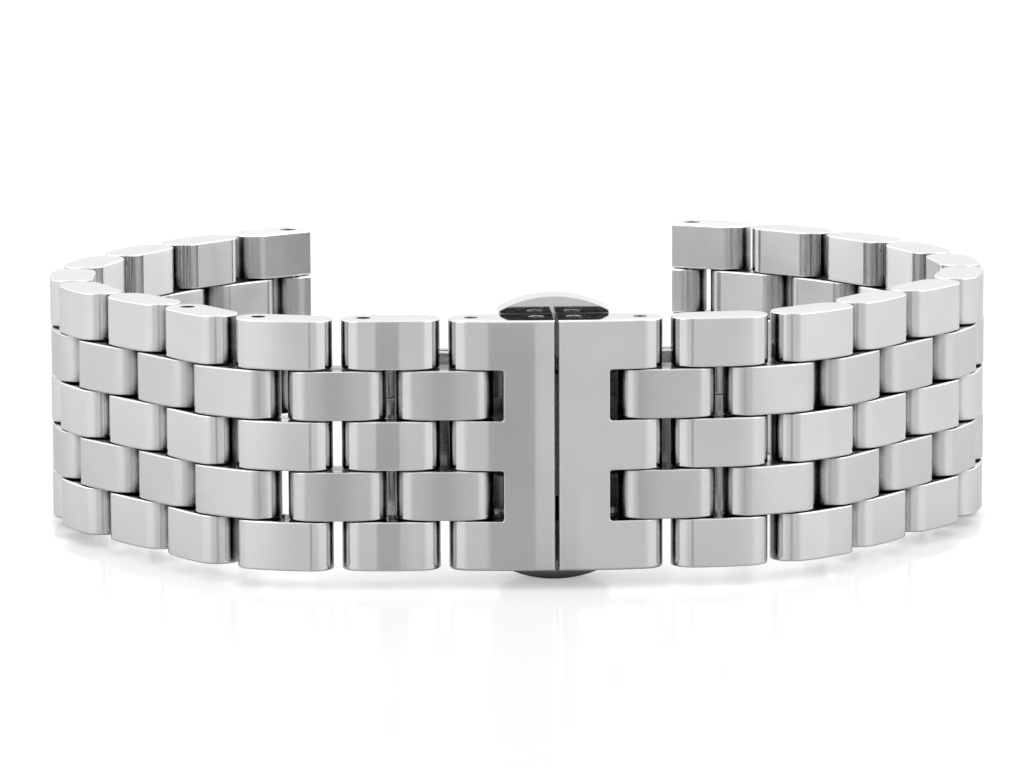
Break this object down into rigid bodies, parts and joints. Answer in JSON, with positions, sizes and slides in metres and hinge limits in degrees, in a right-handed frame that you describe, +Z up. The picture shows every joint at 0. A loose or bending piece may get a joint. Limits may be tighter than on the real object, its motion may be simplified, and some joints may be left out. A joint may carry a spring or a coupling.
{
  "type": "link watch bracelet",
  "caption": "Steel brick link watch bracelet, closed into a standing loop by a folding clasp with push buttons; the ends that take the watch case are open at the back.",
  "frame": {"origin": "centre of the bounding box at its bottom, where the lower push button touches the ground", "axes": "+Z up along all the pins, -Y out of the clasp's front, +X to the right seen from the front"},
  "size_m": [0.07, 0.058, 0.0204],
  "materials": {
    "steel_polished": "polished",
    "steel_satin": "satin, brushed along the band",
    "steel_inner": "plain turned or milled"
  },
  "bodies": {
    "base": {"base_plate": "steel_satin", "lock_block": "steel_inner", "hinge_pin_left": "steel_inner", "hinge_pin_right": "steel_inner", "springs_top": "steel_inner", "springs_bottom": "steel_inner"},
    "button_top": {"button_top": "steel_polished"},
    "button_bottom": {"button_bottom": "steel_polished"},
    "arm_left": {"arm_left": "steel_satin"},
    "cover_left": {"cover_left": "steel_polished", "pivot_pin_left": "steel_inner", "cover_pin_left": "steel_inner"},
    "left_e1": {"left_e1": "steel_satin"},
    "left_o1": {"left_o1": "steel_polished", "link_pin_left_o1": "steel_inner"},
    "left_e2": {"left_e2": "steel_satin"},
    "left_o2": {"left_o2": "steel_polished", "link_pin_left_o2": "steel_inner"},
    "left_e3": {"left_e3": "steel_satin"},
    "left_o3": {"left_o3": "steel_polished", "link_pin_left_o3": "steel_inner"},
    "left_e4": {"left_e4": "steel_satin"},
    "left_o4": {"left_o4": "steel_polished"},
    "left_e5": {"left_e5": "steel_satin"},
    "left_o5": {"left_o5": "steel_polished"},
    "left_e6": {"left_e6": "steel_satin"},
    "left_o6": {"left_o6": "steel_polished"},
    "left_e7": {"left_e7": "steel_satin"},
    "left_o7": {"left_o7": "steel_polished"},
    "left_e8": {"left_e8": "steel_satin"},
    "left_o8": {"left_o8": "steel_polished"},
    "left_e9": {"left_e9": "steel_satin"},
    "left_o9": {"left_o9": "steel_polished"},
    "left_e10": {"left_e10": "steel_satin"},
    "left_end": {"left_end": "steel_polished"},
    "arm_right": {"arm_right": "steel_satin"},
    "cover_right": {"cover_right": "steel_polished", "pivot_pin_right": "steel_inner", "cover_pin_right": "steel_inner"},
    "right_e1": {"right_e1": "steel_satin"},
    "right_o1": {"right_o1": "steel_polished"},
    "right_e2": {"right_e2": "steel_satin"},
    "right_o2": {"right_o2": "steel_polished"},
    "right_e3": {"right_e3": "steel_satin"},
    "right_o3": {"right_o3": "steel_polished"},
    "right_e4": {"right_e4": "steel_satin"},
    "right_o4": {"right_o4": "steel_polished"},
    "right_e5": {"right_e5": "steel_satin"},
    "right_o5": {"right_o5": "steel_polished"},
    "right_e6": {"right_e6": "steel_satin"},
    "right_o6": {"right_o6": "steel_polished"},
    "right_e7": {"right_e7": "steel_satin"},
    "right_o7": {"right_o7": "steel_polished"},
    "right_e8": {"right_e8": "steel_satin"},
    "right_o8": {"right_o8": "steel_polished"},
    "right_e9": {"right_e9": "steel_satin"},
    "right_o9": {"right_o9": "steel_polished"},
    "right_e10": {"right_e10": "steel_satin"},
    "right_end": {"right_end": "steel_polished"}
  },
  "joints": [
    {"name": "press_top", "type": "slide", "parent": "base", "child": "button_top", "axis": [0, 0, -1], "range_m": [0, 0.00065], "stiffness_N_per_m": 2000, "springref_m": -0.0015, "deforming": ["springs_top"]},
    {"name": "press_bottom", "type": "slide", "parent": "base", "child": "button_bottom", "axis": [0, 0, 1], "range_m": [0, 0.00065], "stiffness_N_per_m": 2000, "springref_m": -0.0015, "deforming": ["springs_bottom"]},
    {"name": "open_left", "type": "hinge", "parent": "base", "child": "arm_left", "pos_m": [-0.01007, -0.02146, 0.0102], "axis": [0, 0, -1], "range_deg": [0, 110]},
    {"name": "cover_turn_left", "type": "hinge", "parent": "arm_left", "child": "cover_left", "pos_m": [0.0002, -0.02686, 0.0102], "axis": [0, 0, -1], "range_deg": [-110, 0]},
    {"name": "bend_left_e1", "type": "hinge", "parent": "cover_left", "child": "left_e1", "pos_m": [-0.00447, -0.02706, 0.0102], "axis": [0, 0, -1], "range_deg": [-15.5, 11.5]},
    {"name": "bend_left_o1", "type": "hinge", "parent": "left_e1", "child": "left_o1", "pos_m": [-0.00827, -0.02689, 0.0102], "axis": [0, 0, 1], "range_deg": [-28.75, 12.25]},
    {"name": "bend_left_e2", "type": "hinge", "parent": "left_o1", "child": "left_e2", "pos_m": [-0.01206, -0.02678, 0.0102], "axis": [0, 0, -1], "range_deg": [-12.25, 28.75]},
    {"name": "bend_left_o2", "type": "hinge", "parent": "left_e2", "child": "left_o2", "pos_m": [-0.01586, -0.02671, 0.0102], "axis": [0, 0, 1], "range_deg": [-12, 29]},
    {"name": "bend_left_e3", "type": "hinge", "parent": "left_o2", "child": "left_e3", "pos_m": [-0.0195, -0.0256, 0.0102], "axis": [0, 0, -1], "range_deg": [-33.25, 7.75]},
    {"name": "bend_left_o3", "type": "hinge", "parent": "left_e3", "child": "left_o3", "pos_m": [-0.02252, -0.0233, 0.0102], "axis": [0, 0, 1], "range_deg": [-7.75, 33.25]},
    {"name": "bend_left_e4", "type": "hinge", "parent": "left_o3", "child": "left_e4", "pos_m": [-0.02456, -0.0201, 0.0102], "axis": [0, 0, -1], "range_deg": [-11.83, 29.17]},
    {"name": "bend_left_o4", "type": "hinge", "parent": "left_e4", "child": "left_o4", "pos_m": [-0.02667, -0.01693, 0.0102], "axis": [0, 0, 1], "range_deg": [-29.17, 11.83]},
    {"name": "bend_left_e5", "type": "hinge", "parent": "left_o4", "child": "left_e5", "pos_m": [-0.02884, -0.01381, 0.0102], "axis": [0, 0, -1], "range_deg": [-11.83, 29.17]},
    {"name": "bend_left_o5", "type": "hinge", "parent": "left_e5", "child": "left_o5", "pos_m": [-0.03107, -0.01074, 0.0102], "axis": [0, 0, 1], "range_deg": [-15.67, 25.33]},
    {"name": "bend_left_e6", "type": "hinge", "parent": "left_o5", "child": "left_e6", "pos_m": [-0.0326, -0.00726, 0.0102], "axis": [0, 0, -1], "range_deg": [-25.33, 15.67]},
    {"name": "bend_left_o6", "type": "hinge", "parent": "left_e6", "child": "left_o6", "pos_m": [-0.03335, -0.00353, 0.0102], "axis": [0, 0, 1], "range_deg": [-15.67, 25.33]},
    {"name": "bend_left_e7", "type": "hinge", "parent": "left_o6", "child": "left_e7", "pos_m": [-0.03328, 0.00027, 0.0102], "axis": [0, 0, -1], "range_deg": [-22.5, 18.5]},
    {"name": "bend_left_o7", "type": "hinge", "parent": "left_e7", "child": "left_o7", "pos_m": [-0.03259, 0.004, 0.0102], "axis": [0, 0, 1], "range_deg": [-18.5, 22.5]},
    {"name": "bend_left_e8", "type": "hinge", "parent": "left_o7", "child": "left_e8", "pos_m": [-0.03129, 0.00757, 0.0102], "axis": [0, 0, -1], "range_deg": [-18.75, 22.25]},
    {"name": "bend_left_o8", "type": "hinge", "parent": "left_e8", "child": "left_o8", "pos_m": [-0.02964, 0.011, 0.0102], "axis": [0, 0, 1], "range_deg": [-22.25, 18.75]},
    {"name": "bend_left_e9", "type": "hinge", "parent": "left_o8", "child": "left_e9", "pos_m": [-0.02765, 0.01424, 0.0102], "axis": [0, 0, -1], "range_deg": [-18.75, 22.25]},
    {"name": "bend_left_o9", "type": "hinge", "parent": "left_e9", "child": "left_o9", "pos_m": [-0.02535, 0.01726, 0.0102], "axis": [0, 0, 1], "range_deg": [-22.25, 18.75]},
    {"name": "bend_left_e10", "type": "hinge", "parent": "left_o9", "child": "left_e10", "pos_m": [-0.02276, 0.02004, 0.0102], "axis": [0, 0, -1], "range_deg": [-18.75, 22.25]},
    {"name": "bend_left_end", "type": "hinge", "parent": "left_e10", "child": "left_end", "pos_m": [-0.0199, 0.02255, 0.0102], "axis": [0, 0, 1], "range_deg": [-22.25, 18.75]},
    {"name": "open_right", "type": "hinge", "parent": "base", "child": "arm_right", "pos_m": [0.01313, -0.02146, 0.0102], "axis": [0, 0, 1], "range_deg": [0, 110]},
    {"name": "cover_turn_right", "type": "hinge", "parent": "arm_right", "child": "cover_right", "pos_m": [0.00286, -0.02686, 0.0102], "axis": [0, 0, 1], "range_deg": [-110, 0]},
    {"name": "bend_right_e1", "type": "hinge", "parent": "cover_right", "child": "right_e1", "pos_m": [0.00753, -0.02706, 0.0102], "axis": [0, 0, 1], "range_deg": [-17, 10]},
    {"name": "bend_right_o1", "type": "hinge", "parent": "right_e1", "child": "right_o1", "pos_m": [0.01132, -0.02679, 0.0102], "axis": [0, 0, -1], "range_deg": [-24, 17]},
    {"name": "bend_right_e2", "type": "hinge", "parent": "right_o1", "child": "right_e2", "pos_m": [0.01508, -0.02627, 0.0102], "axis": [0, 0, 1], "range_deg": [-28.33, 12.67]},
    {"name": "bend_right_o2", "type": "hinge", "parent": "right_e2", "child": "right_o2", "pos_m": [0.01857, -0.02476, 0.0102], "axis": [0, 0, -1], "range_deg": [-12.67, 28.33]},
    {"name": "bend_right_e3", "type": "hinge", "parent": "right_o2", "child": "right_e3", "pos_m": [0.02154, -0.02239, 0.0102], "axis": [0, 0, 1], "range_deg": [-28.33, 12.67]},
    {"name": "bend_right_o3", "type": "hinge", "parent": "right_e3", "child": "right_o3", "pos_m": [0.02377, -0.01931, 0.0102], "axis": [0, 0, -1], "range_deg": [-28.33, 12.67]},
    {"name": "bend_right_e4", "type": "hinge", "parent": "right_o3", "child": "right_e4", "pos_m": [0.02603, -0.01625, 0.0102], "axis": [0, 0, 1], "range_deg": [-12.67, 28.33]},
    {"name": "bend_right_o4", "type": "hinge", "parent": "right_e4", "child": "right_o4", "pos_m": [0.02829, -0.0132, 0.0102], "axis": [0, 0, -1], "range_deg": [-28.33, 12.67]},
    {"name": "bend_right_e5", "type": "hinge", "parent": "right_o4", "child": "right_e5", "pos_m": [0.03058, -0.01017, 0.0102], "axis": [0, 0, 1], "range_deg": [-24.25, 16.75]},
    {"name": "bend_right_o5", "type": "hinge", "parent": "right_e5", "child": "right_o5", "pos_m": [0.03223, -0.00675, 0.0102], "axis": [0, 0, -1], "range_deg": [-16.75, 24.25]},
    {"name": "bend_right_e6", "type": "hinge", "parent": "right_o5", "child": "right_e6", "pos_m": [0.03318, -0.00307, 0.0102], "axis": [0, 0, 1], "range_deg": [-24.25, 16.75]},
    {"name": "bend_right_o6", "type": "hinge", "parent": "right_e6", "child": "right_o6", "pos_m": [0.0334, 0.00073, 0.0102], "axis": [0, 0, -1], "range_deg": [-16.75, 24.25]},
    {"name": "bend_right_e7", "type": "hinge", "parent": "right_o6", "child": "right_e7", "pos_m": [0.03287, 0.00449, 0.0102], "axis": [0, 0, 1], "range_deg": [-19.67, 21.33]},
    {"name": "bend_right_o7", "type": "hinge", "parent": "right_e7", "child": "right_o7", "pos_m": [0.03191, 0.00817, 0.0102], "axis": [0, 0, -1], "range_deg": [-21.33, 19.67]},
    {"name": "bend_right_e8", "type": "hinge", "parent": "right_o7", "child": "right_e8", "pos_m": [0.03053, 0.01171, 0.0102], "axis": [0, 0, 1], "range_deg": [-19.67, 21.33]},
    {"name": "bend_right_o8", "type": "hinge", "parent": "right_e8", "child": "right_o8", "pos_m": [0.02874, 0.01506, 0.0102], "axis": [0, 0, -1], "range_deg": [-21, 20]},
    {"name": "bend_right_e9", "type": "hinge", "parent": "right_o8", "child": "right_e9", "pos_m": [0.02656, 0.01817, 0.0102], "axis": [0, 0, 1], "range_deg": [-20, 21]},
    {"name": "bend_right_o9", "type": "hinge", "parent": "right_e9", "child": "right_o9", "pos_m": [0.02402, 0.021, 0.0102], "axis": [0, 0, -1], "range_deg": [-21, 20]},
    {"name": "bend_right_e10", "type": "hinge", "parent": "right_o9", "child": "right_e10", "pos_m": [0.02115, 0.02349, 0.0102], "axis": [0, 0, 1], "range_deg": [-20, 21]},
    {"name": "bend_right_end", "type": "hinge", "parent": "right_e10", "child": "right_end", "pos_m": [0.018, 0.02562, 0.0102], "axis": [0, 0, -1], "range_deg": [-21, 20]}
  ],
  "couplings": [
    {"joint": "cover_turn_left", "follows": "open_left", "ratio": -1},
    {"joint": "cover_turn_right", "follows": "open_right", "ratio": -1}
  ]
}
